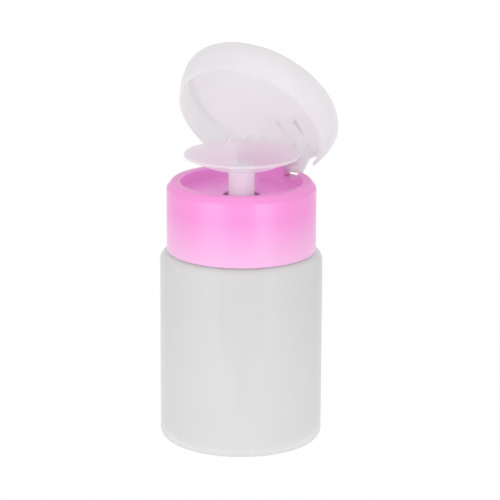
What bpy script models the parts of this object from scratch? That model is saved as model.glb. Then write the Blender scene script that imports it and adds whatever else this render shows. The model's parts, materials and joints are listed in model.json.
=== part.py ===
"""Press-top dispenser bottle: a frosted bottle, a screw collar with a press pump, and a hinged lid.

Units are metres and +Z is up. The origin is the middle of the bottle's base, the bottle's axis is Z,
and the lid's hinge is at +Y. The lid is drawn shut and then turned about its hinge to LID_OPEN.
"""

import math

import bmesh
import bpy
from mathutils import Matrix, Vector

# Gaps between pieces
SEAT_GAP = 0.0003
RUN_GAP = 0.0001
TRUNNION_GAP = 0.00006
CUT_OVERRUN = 0.001
WELD = 0.00001

# Bottle
BODY_RADIUS = 0.022
BODY_WALL = 0.001
SHOULDER_HEIGHT = 0.0523
SHOULDER_FILLET = 0.0025
FOOT_FILLET = 0.002
FLOOR_THICKNESS = 0.0012
FOOT_RING_WIDTH = 0.002
GROOVE_WIDTH = 0.006
GROOVE_DEPTH = 0.0008
NECK_RADIUS = 0.0146
NECK_WALL = 0.002
NECK_HEIGHT = 0.0115
LIP_CHAMFER = 0.0004

# Screw thread
THREAD_PITCH = 0.004
THREAD_DEPTH = 0.001
THREAD_ROOT = 0.0016
THREAD_CREST = 0.0008
THREAD_RISE = 0.0033
THREAD_TURNS = 1.25
THREAD_LEAD_IN = 30.0

# Collar
SKIRT_SPACE = 0.0018
COLLAR_WALL = 0.0013
COLLAR_FLOOR = 0.0012
SLEEVE_WALL = 0.0012
SLEEVE_RISE = 0.002
RECESS_DEPTH = 0.0038
RIM_WIDTH = 0.0023
RIM_SLOPE = 0.0014
RIM_DROP = 0.0018
RIM_EDGE = 0.0003
RIB_COUNT = 12
RIB_THICKNESS = 0.0009
RIB_RISE = 0.006

# Gasket, pump housing and dip tube
GASKET_THICKNESS = 0.0009
GASKET_FIT = 0.0006
GASKET_INSET = 0.0003
FLANGE_FIT = 0.0011
FLANGE_THICKNESS = 0.0011
HOUSING_WALL = 0.0008
HOUSING_LENGTH = 0.0435
HOUSING_CORNER = 0.0012
SPIGOT_WALL = 0.00105
SPIGOT_LENGTH = 0.0048
SOCKET_DEPTH = 0.003
INLET_BORE = 0.0012
INLET_LENGTH = 0.001
TUBE_RADIUS = 0.0016
TUBE_WALL = 0.0005
TUBE_FIT = 0.00015
TUBE_FOOT = 0.001
TUBE_SLANT = 45.0
VENT_RADIUS = 0.0006

# Valve balls
INLET_BALL = 0.0018
INLET_SPACE = 0.0006
INLET_LIFT = 0.0013
OUTLET_BALL = 0.0015
OUTLET_SPACE = 0.0003
OUTLET_LIFT = 0.0008
OUTLET_STOP = 0.0004
BALL_GAP = 0.00005

# Ball cage and return spring
CAGE_HEIGHT = 0.0012
CAGE_LEDGE = 0.0005
CAGE_BAR = 0.001
CAGE_BAR_HEIGHT = 0.0007
CAGE_BAR_RISE = 0.0001
SPRING_WIRE = 0.0007
SPRING_RADIUS = 0.0034
SPRING_TURNS = 8
SPRING_END_GAP = 0.00045

# Stem, piston and stem guide
STEM_RADIUS = 0.0035
STEM_BORE = 0.001
STEM_SPIGOT = 0.0021
BARB_REACH = 0.0002
BARB_LENGTH = 0.0008
PISTON_LENGTH = 0.0034
PISTON_LIP_REACH = 0.0009
PISTON_LIP = 0.0008
PISTON_LIP_SLOPE = 0.0004
PISTON_GROOVE = 0.0007
PISTON_FIT = 0.0003
GUIDE_LENGTH = 0.004

# Press dish
PRESS_STROKE = 0.0065
DISH_SPACE = 0.0009
DISH_RISE = 0.0075
DISH_DEPTH = 0.0041
DISH_EDGE = 0.0008
DISH_ROOF = 0.0012
DISH_WELL = 0.0036
DISH_SLEEVE_WALL = 0.00105
DISH_OUTLET = 0.0009
DISH_UNDERSIDE_POWER = 1.15
DISH_BOWL_POWER = 0.9
DISH_FIT = 0.00015
SLEEVE_FIT = 0.00045
SLEEVE_PASS = 0.0006

# Lid and its hinge
LID_OPEN = 55.0
LID_SEAT_RISE = 0.0006
LID_OVERHANG = 0.0007
LID_BULGE = 0.0016
LID_RIM_WALL = 0.0008
LID_WALL = 0.0009
LID_FLARE = 0.0071
LID_CORNER = 0.0024
LID_CROWN = 0.0131
LID_CROWN_ANGLE = 70.0
HINGE_INSET = 0.0024
HINGE_RISE = 0.0021
KNUCKLE_WALL = 0.0007
KNUCKLE_WIDTH = 0.0094
TRUNNION_RADIUS = 0.0011
TRUNNION_INSET = 0.0006
ARM_GAP = 0.0003
ARM_WIDTH = 0.0036
ARM_WALL = 0.0011
TONGUE_TURN = 20.0
TONGUE_WIDTH = 0.006
TONGUE_START = 0.0093
TONGUE_DEPTH = 0.0024
NOTCH_SPACE = 0.0014
LID_CUT_SPACE = 0.0035
LID_CUT_HEIGHT = 0.0065

# Faces on the turned pieces
WIDE_STEPS = 56
SMALL_STEPS = 32
FILLET_STEPS = 4
FLARE_STEPS = 3
CROWN_STEPS = 4
THREAD_STEPS = 32
SPRING_POINTS = 10

# Radii and widths that follow from the sizes above
NECK_BORE = NECK_RADIUS - NECK_WALL
SLEEVE_BORE = NECK_RADIUS + THREAD_DEPTH + SEAT_GAP
SLEEVE_RADIUS = SLEEVE_BORE + SLEEVE_WALL
SKIRT_BORE = SLEEVE_RADIUS + SKIRT_SPACE
COLLAR_RADIUS = SKIRT_BORE + COLLAR_WALL
RIM_RADIUS = COLLAR_RADIUS - RIM_SLOPE
RECESS_RADIUS = RIM_RADIUS - RIM_WIDTH
DISH_RADIUS = RECESS_RADIUS - DISH_SPACE
DISH_BORE = STEM_RADIUS + DISH_FIT
DISH_SLEEVE = DISH_BORE + DISH_SLEEVE_WALL
HOUSING_BORE = DISH_SLEEVE + SLEEVE_PASS
HOUSING_RADIUS = HOUSING_BORE + HOUSING_WALL
TUBE_SOCKET = TUBE_RADIUS + TUBE_FIT
SPIGOT_RADIUS = TUBE_SOCKET + SPIGOT_WALL
INLET_POCKET = INLET_BALL + INLET_SPACE
OUTLET_POCKET = OUTLET_BALL + OUTLET_SPACE
CAGE_BORE = SPRING_RADIUS - CAGE_LEDGE
PISTON_BORE = STEM_SPIGOT + PISTON_FIT
STEM_BARB = PISTON_BORE + BARB_REACH
PISTON_WAIST = HOUSING_BORE - PISTON_LIP_REACH
LID_RIM_RADIUS = COLLAR_RADIUS + LID_OVERHANG
LID_MAX_RADIUS = LID_RIM_RADIUS + LID_BULGE
KNUCKLE_RADIUS = TRUNNION_RADIUS + KNUCKLE_WALL
ARM_RADIUS = TRUNNION_RADIUS + ARM_WALL
HINGE_WIDTH = KNUCKLE_WIDTH + 2 * ARM_GAP + 2 * ARM_WIDTH
NOTCH_WIDTH = HINGE_WIDTH + 2 * NOTCH_SPACE
LID_CUT_WIDTH = NOTCH_WIDTH + 2 * LID_CUT_SPACE

# Heights that follow from the sizes above, from the base up
BOTTLE_FLOOR = GROOVE_DEPTH + FLOOR_THICKNESS
NECK_TOP = SHOULDER_HEIGHT + NECK_HEIGHT
GASKET_BOTTOM = NECK_TOP + SEAT_GAP
FLANGE_BOTTOM = GASKET_BOTTOM + GASKET_THICKNESS + SEAT_GAP
FLANGE_TOP = FLANGE_BOTTOM + FLANGE_THICKNESS
COLLAR_BOTTOM = SHOULDER_HEIGHT + SEAT_GAP
FLOOR_UNDERSIDE = FLANGE_TOP + SEAT_GAP
RECESS_FLOOR = FLOOR_UNDERSIDE + COLLAR_FLOOR
RIM_TOP = RECESS_FLOOR + RECESS_DEPTH
RIM_CORNER = RIM_TOP - RIM_DROP
DISH_RIM = RIM_TOP + DISH_RISE
DISH_HUB = DISH_RIM - DISH_DEPTH
SLEEVE_BOTTOM = RECESS_FLOOR + SEAT_GAP
SOCKET_CEILING = DISH_HUB + SEAT_GAP
STEM_TOP = SOCKET_CEILING - SEAT_GAP
GUIDE_TOP = SLEEVE_BOTTOM - PRESS_STROKE - SEAT_GAP
GUIDE_BOTTOM = GUIDE_TOP - GUIDE_LENGTH
PISTON_TOP = GUIDE_BOTTOM - SEAT_GAP
PISTON_BOTTOM = PISTON_TOP - PISTON_LENGTH
STEM_BOTTOM = PISTON_BOTTOM - SEAT_GAP - BARB_LENGTH
HOUSING_BOTTOM = FLANGE_BOTTOM - HOUSING_LENGTH
SPIGOT_BOTTOM = HOUSING_BOTTOM - SPIGOT_LENGTH
TUBE_STOP = SPIGOT_BOTTOM + SOCKET_DEPTH
INLET_SEAT = TUBE_STOP + INLET_LENGTH
HINGE_Y = COLLAR_RADIUS - HINGE_INSET
HINGE_Z = RIM_TOP + HINGE_RISE
LID_RIM = RIM_CORNER + LID_SEAT_RISE


def ball_centre(seat_height, seat_bore, ball):
    """Height at which a ball rests on a 45 degree seat that opens from seat_bore at seat_height."""
    return seat_height - seat_bore + (ball + BALL_GAP) * math.sqrt(2)


INLET_BALL_HEIGHT = ball_centre(INLET_SEAT, INLET_BORE, INLET_BALL)
CHAMBER_FLOOR = INLET_BALL_HEIGHT + INLET_BALL + INLET_LIFT
CAGE_BOTTOM = CHAMBER_FLOOR + SEAT_GAP
CAGE_TOP = CAGE_BOTTOM + CAGE_HEIGHT
OUTLET_BALL_HEIGHT = SOCKET_CEILING - OUTLET_STOP - OUTLET_LIFT - OUTLET_BALL
OUTLET_SEAT = OUTLET_BALL_HEIGHT - ball_centre(0, STEM_BORE, OUTLET_BALL)

for old in list(bpy.data.objects):
    bpy.data.objects.remove(old)

part = bpy.data.collections.new("dispenser_bottle")
tools = bpy.data.collections.new("cutters")
bpy.context.scene.collection.children.link(part)
bpy.context.scene.collection.children.link(tools)


def plastic(name, color, roughness, metallic=0.0):
    """A Principled material with the piece's colour."""
    material = bpy.data.materials.new(name)
    material.use_nodes = True
    material.diffuse_color = (*color, 1.0)
    shader = material.node_tree.nodes["Principled BSDF"]
    shader.inputs["Base Color"].default_value = (*color, 1.0)
    shader.inputs["Roughness"].default_value = roughness
    shader.inputs["Metallic"].default_value = metallic
    return material


def add_object(name, mesh, material=None):
    """Links a mesh as a piece, or as a hidden tool where it has no material."""
    piece = bpy.data.objects.new(name, mesh)
    if material:
        mesh.materials.append(material)
        part.objects.link(piece)
    else:
        piece.hide_render = True
        piece.display_type = "WIRE"
        tools.objects.link(piece)
    return piece


def turned(name, outline, steps, material=None):
    """Turns an outline of (radius, height) points about Z.

    The outline runs down the outer side. It is open where both its ends are on the axis.
    """
    mesh = bpy.data.meshes.new(name)
    count = len(outline)
    edges = [(i, i + 1) for i in range(count - 1)]
    if outline[0][0] > 0:
        edges.append((count - 1, 0))
    mesh.from_pydata([(radius, 0, height) for radius, height in outline], edges, [])
    piece = add_object(name, mesh, material)
    screw = piece.modifiers.new("turn", "SCREW")
    screw.axis = "Z"
    screw.angle = math.tau
    screw.steps = steps
    screw.render_steps = steps
    screw.use_merge_vertices = True
    screw.merge_threshold = WELD
    screw.use_smooth_shade = True
    return piece


def arc(centre, radius, start, end, steps=FILLET_STEPS):
    """Points of a round corner, from one angle in degrees to another."""
    angles = [math.radians(start + (end - start) * i / steps) for i in range(steps + 1)]
    return [(centre[0] + radius * math.cos(a), centre[1] + radius * math.sin(a)) for a in angles]


def plate(name, outline, thickness, middle=0.0):
    """A flat tool across X, from an outline of (y, z) points."""
    curve = bpy.data.curves.new(name, "CURVE")
    curve.dimensions = "2D"
    curve.fill_mode = "BOTH"
    curve.extrude = thickness / 2
    spline = curve.splines.new("POLY")
    spline.points.add(len(outline) - 1)
    for point, (y, z) in zip(spline.points, outline):
        point.co = (y, z, 0, 1)
    spline.use_cyclic_u = True
    holder = bpy.data.objects.new(name + "_outline", curve)
    tools.objects.link(holder)
    mesh = bpy.data.meshes.new_from_object(holder.evaluated_get(bpy.context.evaluated_depsgraph_get()))
    bpy.data.objects.remove(holder)
    form = bmesh.new()
    form.from_mesh(mesh)
    bmesh.ops.remove_doubles(form, verts=form.verts, dist=WELD)
    for vert in form.verts:
        vert.co = Vector((vert.co.z + middle, vert.co.x, vert.co.y))
    form.to_mesh(mesh)
    form.free()
    return add_object(name, mesh)


def block(name, low, high):
    """A box between two corners."""
    mesh = bpy.data.meshes.new(name)
    form = bmesh.new()
    bmesh.ops.create_cube(form, size=1)
    for vert in form.verts:
        vert.co = Vector([a + (b - a) * (c + 0.5) for a, b, c in zip(low, high, vert.co)])
    form.to_mesh(mesh)
    form.free()
    return add_object(name, mesh)


def rod(name, radius, length, centre):
    """A cylinder along X, as a tool."""
    mesh = bpy.data.meshes.new(name)
    form = bmesh.new()
    bmesh.ops.create_cone(
        form, cap_ends=True, segments=SMALL_STEPS, radius1=radius, radius2=radius, depth=length
    )
    for vert in form.verts:
        vert.co = Vector((vert.co.z, vert.co.x, vert.co.y)) + Vector(centre)
    form.to_mesh(mesh)
    form.free()
    return add_object(name, mesh)


def ribs(name, inner, outer, low, high):
    """Upright ribs all round between two radii, as one tool."""
    mesh = bpy.data.meshes.new(name)
    form = bmesh.new()
    for i in range(RIB_COUNT):
        rib = bmesh.ops.create_cube(form, size=1)["verts"]
        turn = Matrix.Rotation(math.tau * (i + 0.5) / RIB_COUNT, 3, "Z")
        bmesh.ops.scale(form, vec=(outer - inner, RIB_THICKNESS, high - low), verts=rib)
        bmesh.ops.translate(form, vec=((inner + outer) / 2, 0, (low + high) / 2), verts=rib)
        bmesh.ops.rotate(form, cent=(0, 0, 0), matrix=turn, verts=rib)
    form.to_mesh(mesh)
    form.free()
    return add_object(name, mesh)


def combine(piece, tool, operation):
    """Adds an exact Boolean of a piece with a hidden tool."""
    modifier = piece.modifiers.new(tool.name, "BOOLEAN")
    modifier.operation = operation
    modifier.solver = "EXACT"
    modifier.object = tool


def helical_ridge(name, wall, crest, start_angle, start_height):
    """A thread ridge that runs out into the wall at both ends, as a closed tool.

    Each cross-section has its root just inside the wall and its crest towards the mating thread.
    """
    mesh = bpy.data.meshes.new(name)
    form = bmesh.new()
    count = int(THREAD_STEPS * THREAD_TURNS)
    root = wall + math.copysign(SEAT_GAP, wall - crest)
    sections = []
    for i in range(count + 1):
        turn = 360 * THREAD_TURNS * i / count
        full = min(1, turn / THREAD_LEAD_IN, (360 * THREAD_TURNS - turn) / THREAD_LEAD_IN)
        tip = wall + (crest - wall) * full
        angle = math.radians(start_angle + turn)
        height = start_height + THREAD_PITCH * turn / 360
        corners = [(root, -THREAD_ROOT / 2), (root, THREAD_ROOT / 2)]
        corners += [(tip, THREAD_CREST / 2), (tip, -THREAD_CREST / 2)]
        sections.append([
            form.verts.new((radius * math.cos(angle), radius * math.sin(angle), height + rise))
            for radius, rise in corners
        ])
    for first, second in zip(sections, sections[1:]):
        for i in range(4):
            form.faces.new((first[i], first[(i + 1) % 4], second[(i + 1) % 4], second[i]))
    form.faces.new(reversed(sections[0]))
    form.faces.new(sections[-1])
    bmesh.ops.recalc_face_normals(form, faces=form.faces)
    form.to_mesh(mesh)
    form.free()
    return add_object(name, mesh)


def sphere(name, radius, height, material):
    """A valve ball on the bottle's axis."""
    mesh = bpy.data.meshes.new(name)
    form = bmesh.new()
    bmesh.ops.create_uvsphere(form, u_segments=SMALL_STEPS // 2, v_segments=SMALL_STEPS // 4, radius=radius)
    form.to_mesh(mesh)
    form.free()
    mesh.shade_smooth()
    ball = add_object(name, mesh, material)
    ball.location.z = height
    return ball


frosted = plastic("frosted_bottle", (0.80, 0.81, 0.82), 0.45)
pink = plastic("pink_collar", (0.91, 0.35, 0.72), 0.35)
natural = plastic("natural_plastic", (0.86, 0.84, 0.86), 0.3)
white = plastic("white_plastic", (0.92, 0.90, 0.92), 0.35)
soft = plastic("soft_plastic", (0.75, 0.77, 0.78), 0.6)
steel = plastic("steel", (0.62, 0.63, 0.64), 0.25, 1.0)


def make_bottle():
    """The bottle is one blown shell with a threaded neck and a grooved base."""
    body = BODY_RADIUS
    inside = BODY_RADIUS - BODY_WALL
    inner_shoulder = SHOULDER_FILLET - BODY_WALL
    inner_foot = FOOT_FILLET - BODY_WALL
    under = SHOULDER_HEIGHT - BODY_WALL
    ring = body - FOOT_FILLET - FOOT_RING_WIDTH
    pad = ring - GROOVE_WIDTH
    outline = [(0, BOTTLE_FLOOR)]
    outline += arc((inside - inner_foot, BOTTLE_FLOOR + inner_foot), inner_foot, -90, 0)
    outline += arc((inside - inner_shoulder, under - inner_shoulder), inner_shoulder, 0, 90)
    outline += [(NECK_BORE, under), (NECK_BORE, NECK_TOP), (NECK_RADIUS - LIP_CHAMFER, NECK_TOP)]
    outline += [(NECK_RADIUS, NECK_TOP - LIP_CHAMFER), (NECK_RADIUS, SHOULDER_HEIGHT)]
    outline += arc((body - SHOULDER_FILLET, SHOULDER_HEIGHT - SHOULDER_FILLET), SHOULDER_FILLET, 90, 0)
    outline += arc((body - FOOT_FILLET, FOOT_FILLET), FOOT_FILLET, 0, -90)
    outline += [(ring, 0), (ring - GROOVE_DEPTH, GROOVE_DEPTH), (pad + GROOVE_DEPTH, GROOVE_DEPTH)]
    outline += [(pad, 0), (0, 0)]
    bottle = turned("bottle", outline, WIDE_STEPS, frosted)
    crest = NECK_RADIUS + THREAD_DEPTH
    ridge = helical_ridge("neck_thread", NECK_RADIUS, crest, 0, SHOULDER_HEIGHT + THREAD_RISE)
    combine(bottle, ridge, "UNION")


def make_collar():
    """The collar has a smooth skirt, a threaded sleeve, a recess for the dish and the hinge knuckle."""
    sleeve_foot = COLLAR_BOTTOM + SLEEVE_RISE
    hole = DISH_SLEEVE + SLEEVE_FIT
    outline = [
        (RIM_RADIUS, RIM_TOP), (COLLAR_RADIUS, RIM_CORNER), (COLLAR_RADIUS, COLLAR_BOTTOM),
        (SKIRT_BORE, COLLAR_BOTTOM), (SKIRT_BORE, FLOOR_UNDERSIDE), (SLEEVE_RADIUS, FLOOR_UNDERSIDE),
        (SLEEVE_RADIUS, sleeve_foot), (SLEEVE_BORE, sleeve_foot), (SLEEVE_BORE, FLOOR_UNDERSIDE),
        (hole, FLOOR_UNDERSIDE), (hole, RECESS_FLOOR), (RECESS_RADIUS, RECESS_FLOOR),
        (RECESS_RADIUS, RIM_TOP - RIM_EDGE), (RECESS_RADIUS + RIM_EDGE, RIM_TOP),
    ]
    collar = turned("collar", outline, WIDE_STEPS, pink)
    below = (THREAD_ROOT + THREAD_CREST) / 2 + SEAT_GAP
    height = SHOULDER_HEIGHT + THREAD_RISE + THREAD_PITCH / 2 - below
    ridge = helical_ridge("collar_thread", SLEEVE_BORE, SLEEVE_BORE - THREAD_DEPTH, 180, height)
    combine(collar, ridge, "UNION")
    inner = SLEEVE_RADIUS - SLEEVE_WALL / 2
    outer = SKIRT_BORE + COLLAR_WALL / 2
    rib_top = FLOOR_UNDERSIDE + COLLAR_FLOOR / 2
    combine(collar, ribs("collar_ribs", inner, outer, COLLAR_BOTTOM + RIB_RISE, rib_top), "UNION")
    notch_front = math.sqrt(RECESS_RADIUS ** 2 - (NOTCH_WIDTH / 2) ** 2) - CUT_OVERRUN
    notch = block(
        "rim_notch",
        (-NOTCH_WIDTH / 2, notch_front, RIM_CORNER),
        (NOTCH_WIDTH / 2, COLLAR_RADIUS + CUT_OVERRUN, RIM_TOP + CUT_OVERRUN),
    )
    combine(collar, notch, "DIFFERENCE")
    foot = RECESS_FLOOR - COLLAR_FLOOR / 2
    profile = [(HINGE_Y - KNUCKLE_RADIUS, foot)]
    profile += arc((HINGE_Y, HINGE_Z), KNUCKLE_RADIUS, 180, 0, 3 * FILLET_STEPS)
    profile += [(HINGE_Y + KNUCKLE_RADIUS, foot)]
    knuckle = plate("hinge_knuckle", profile, KNUCKLE_WIDTH)
    across = HINGE_WIDTH - 2 * TRUNNION_INSET
    trunnions = rod("hinge_trunnions", TRUNNION_RADIUS, across, (0, HINGE_Y, HINGE_Z))
    combine(collar, knuckle, "UNION")
    combine(collar, trunnions, "UNION")


def make_pump():
    """The housing hangs from the neck and holds the inlet valve, the spring and the stem's guide."""
    flange = SLEEVE_BORE - FLANGE_FIT
    outline = [(flange, FLANGE_TOP), (flange, FLANGE_BOTTOM), (HOUSING_RADIUS, FLANGE_BOTTOM)]
    outline += arc(
        (HOUSING_RADIUS - HOUSING_CORNER, HOUSING_BOTTOM + HOUSING_CORNER), HOUSING_CORNER, 0, -90
    )
    seat_height = INLET_SEAT + INLET_POCKET - INLET_BORE
    outline += [
        (SPIGOT_RADIUS, HOUSING_BOTTOM), (SPIGOT_RADIUS, SPIGOT_BOTTOM), (TUBE_SOCKET, SPIGOT_BOTTOM),
        (TUBE_SOCKET, TUBE_STOP), (INLET_BORE, TUBE_STOP), (INLET_BORE, INLET_SEAT),
        (INLET_POCKET, seat_height), (INLET_POCKET, CHAMBER_FLOOR), (HOUSING_BORE, CHAMBER_FLOOR),
        (HOUSING_BORE, FLANGE_TOP),
    ]
    housing = turned("pump_housing", outline, SMALL_STEPS, natural)
    reach = HOUSING_RADIUS + CUT_OVERRUN
    vent = rod("vent_hole", VENT_RADIUS, reach, (reach / 2, 0, (PISTON_TOP + PISTON_BOTTOM) / 2))
    combine(housing, vent, "DIFFERENCE")
    gasket = SLEEVE_BORE - GASKET_FIT
    gasket_bore = NECK_BORE + GASKET_INSET
    gasket_top = GASKET_BOTTOM + GASKET_THICKNESS
    turned("neck_gasket", [
        (gasket, gasket_top), (gasket, GASKET_BOTTOM),
        (gasket_bore, GASKET_BOTTOM), (gasket_bore, gasket_top),
    ], SMALL_STEPS, soft)
    guide = HOUSING_BORE - RUN_GAP
    guide_bore = STEM_RADIUS + RUN_GAP
    turned("stem_guide", [
        (guide, GUIDE_TOP), (guide, GUIDE_BOTTOM), (guide_bore, GUIDE_BOTTOM), (guide_bore, GUIDE_TOP),
    ], SMALL_STEPS, white)
    tube_bottom = BOTTLE_FLOOR + TUBE_FOOT
    tube_top = TUBE_STOP - SEAT_GAP
    tube_bore = TUBE_RADIUS - TUBE_WALL
    tube = turned("dip_tube", [
        (TUBE_RADIUS, tube_top), (TUBE_RADIUS, tube_bottom), (tube_bore, tube_bottom), (tube_bore, tube_top),
    ], SMALL_STEPS, natural)
    beside = TUBE_RADIUS + CUT_OVERRUN
    slope = math.tan(math.radians(TUBE_SLANT))
    under = tube_bottom - slope * CUT_OVERRUN
    slant = [(-beside, under), (beside, under), (beside, under + slope * 2 * beside)]
    combine(tube, plate("tube_slant", slant, 2 * beside), "DIFFERENCE")
    sphere("inlet_ball", INLET_BALL, INLET_BALL_HEIGHT, steel)


def make_cage():
    """The ball cage is a ring with a cross of two bars that stops the ball and carries the spring."""
    ring = HOUSING_BORE - RUN_GAP
    cage = turned("ball_cage", [
        (ring, CAGE_TOP), (ring, CAGE_BOTTOM), (CAGE_BORE, CAGE_BOTTOM), (CAGE_BORE, CAGE_TOP),
    ], SMALL_STEPS, white)
    reach = (CAGE_BORE + ring) / 2
    bar_bottom = CAGE_BOTTOM + CAGE_BAR_RISE
    bar_top = bar_bottom + CAGE_BAR_HEIGHT
    bar_x = block("cage_bar_x", (-reach, -CAGE_BAR / 2, bar_bottom), (reach, CAGE_BAR / 2, bar_top))
    bar_y = block("cage_bar_y", (-CAGE_BAR / 2, -reach, bar_bottom), (CAGE_BAR / 2, reach, bar_top))
    combine(cage, bar_x, "UNION")
    combine(cage, bar_y, "UNION")


def make_spring():
    """The return spring is one wire with a closed turn at each end and even turns between."""
    low = CAGE_TOP + SEAT_GAP + SPRING_WIRE / 2
    high = PISTON_BOTTOM - SEAT_GAP - SPRING_WIRE / 2
    end_pitch = SPRING_WIRE + SPRING_END_GAP
    pitch = (high - low - 2 * end_pitch) / SPRING_TURNS
    points = []
    for i in range((SPRING_TURNS + 2) * SPRING_POINTS + 1):
        turn = i / SPRING_POINTS
        closed = min(turn, 1) + max(turn - 1 - SPRING_TURNS, 0)
        height = low + end_pitch * closed + pitch * (turn - closed)
        angle = math.tau * turn
        points.append(Vector((SPRING_RADIUS * math.cos(angle), SPRING_RADIUS * math.sin(angle), height)))
    apart = min(
        (a - b).length
        for i, a in enumerate(points)
        for b in points[i + SPRING_POINTS // 2:]
    )
    print(f"return_spring: least gap to itself {(apart - SPRING_WIRE) * 1000:.2f} mm")
    curve = bpy.data.curves.new("return_spring", "CURVE")
    curve.dimensions = "3D"
    curve.bevel_depth = SPRING_WIRE / 2
    curve.bevel_resolution = 1
    curve.use_fill_caps = True
    spline = curve.splines.new("POLY")
    spline.points.add(len(points) - 1)
    for point, place in zip(spline.points, points):
        point.co = (*place, 1)
    curve.materials.append(steel)
    part.objects.link(bpy.data.objects.new("return_spring", curve))


def make_plunger():
    """The stem carries the piston below, the outlet ball and the press dish above."""
    seat_top = OUTLET_SEAT + OUTLET_POCKET - STEM_BORE
    shoulder = PISTON_TOP + SEAT_GAP
    barb_top = STEM_BOTTOM + BARB_LENGTH
    turned("stem", [
        (STEM_RADIUS, STEM_TOP), (STEM_RADIUS, shoulder), (STEM_SPIGOT, shoulder),
        (STEM_SPIGOT, barb_top), (STEM_BARB, barb_top), (STEM_SPIGOT, STEM_BOTTOM),
        (STEM_BORE, STEM_BOTTOM), (STEM_BORE, OUTLET_SEAT), (OUTLET_POCKET, seat_top),
        (OUTLET_POCKET, STEM_TOP),
    ], SMALL_STEPS, white)
    sphere("outlet_ball", OUTLET_BALL, OUTLET_BALL_HEIGHT, steel)
    lip = HOUSING_BORE - RUN_GAP / 2
    groove = (PISTON_BORE + lip) / 2
    mouth = groove + PISTON_GROOVE
    waist = PISTON_LIP + PISTON_LIP_SLOPE
    turned("piston", [
        (lip, PISTON_TOP), (lip, PISTON_TOP - PISTON_LIP), (PISTON_WAIST, PISTON_TOP - waist),
        (PISTON_WAIST, PISTON_BOTTOM + waist), (lip, PISTON_BOTTOM + PISTON_LIP), (lip, PISTON_BOTTOM),
        (PISTON_BORE, PISTON_BOTTOM), (PISTON_BORE, PISTON_TOP), (groove - PISTON_GROOVE, PISTON_TOP),
        (groove, PISTON_TOP - PISTON_GROOVE), (mouth, PISTON_TOP),
    ], SMALL_STEPS, soft)
    floor = SOCKET_CEILING + DISH_ROOF
    under_rim = DISH_RIM - DISH_EDGE
    dish = [(DISH_RADIUS - DISH_EDGE / 2, DISH_RIM), (DISH_RADIUS, DISH_RIM - DISH_EDGE / 2)]
    dish += [(DISH_RADIUS - DISH_EDGE / 4, under_rim)]
    span = DISH_RADIUS - DISH_EDGE / 4 - DISH_SLEEVE
    for i in range(1, CROWN_STEPS + 1):
        share = i / CROWN_STEPS
        drop = (under_rim - DISH_HUB) * math.sin(share * math.pi / 2) ** DISH_UNDERSIDE_POWER
        dish.append((DISH_RADIUS - DISH_EDGE / 4 - span * share, under_rim - drop))
    dish += [(DISH_SLEEVE, SLEEVE_BOTTOM), (DISH_BORE, SLEEVE_BOTTOM), (DISH_BORE, SOCKET_CEILING)]
    dish += [(DISH_OUTLET, SOCKET_CEILING), (DISH_OUTLET, floor), (DISH_WELL, floor)]
    reach = DISH_RADIUS - DISH_EDGE - DISH_WELL
    for i in range(1, CROWN_STEPS + 1):
        share = i / CROWN_STEPS
        rise = (DISH_RIM - floor) * (1 - math.cos(share * math.pi / 2)) ** DISH_BOWL_POWER
        dish.append((DISH_WELL + reach * share, floor + rise))
    turned("press_dish", dish, WIDE_STEPS, natural)


def lid_outline(inset, rim_inset):
    """Half of the lid's section, from the crown to the rim, drawn inside its outer side by an inset."""
    corner = LID_CORNER - inset
    centre = (LID_MAX_RADIUS - LID_CORNER, LID_RIM + LID_FLARE)
    round_off = arc(centre, corner, LID_CROWN_ANGLE, 0)
    edge, edge_height = round_off[0]
    crown = LID_RIM + LID_CROWN - inset
    points = []
    for i in range(CROWN_STEPS):
        share = i / CROWN_STEPS
        points.append((edge * share, crown + (edge_height - crown) * share ** 2))
    points += round_off
    wide = LID_MAX_RADIUS - inset
    narrow = LID_RIM_RADIUS - rim_inset
    for i in range(1, FLARE_STEPS + 1):
        share = 1 - i / FLARE_STEPS
        reach = narrow + (wide - narrow) * math.sin(share * math.pi / 2)
        points.append((reach, LID_RIM + LID_FLARE * share))
    return points


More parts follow.
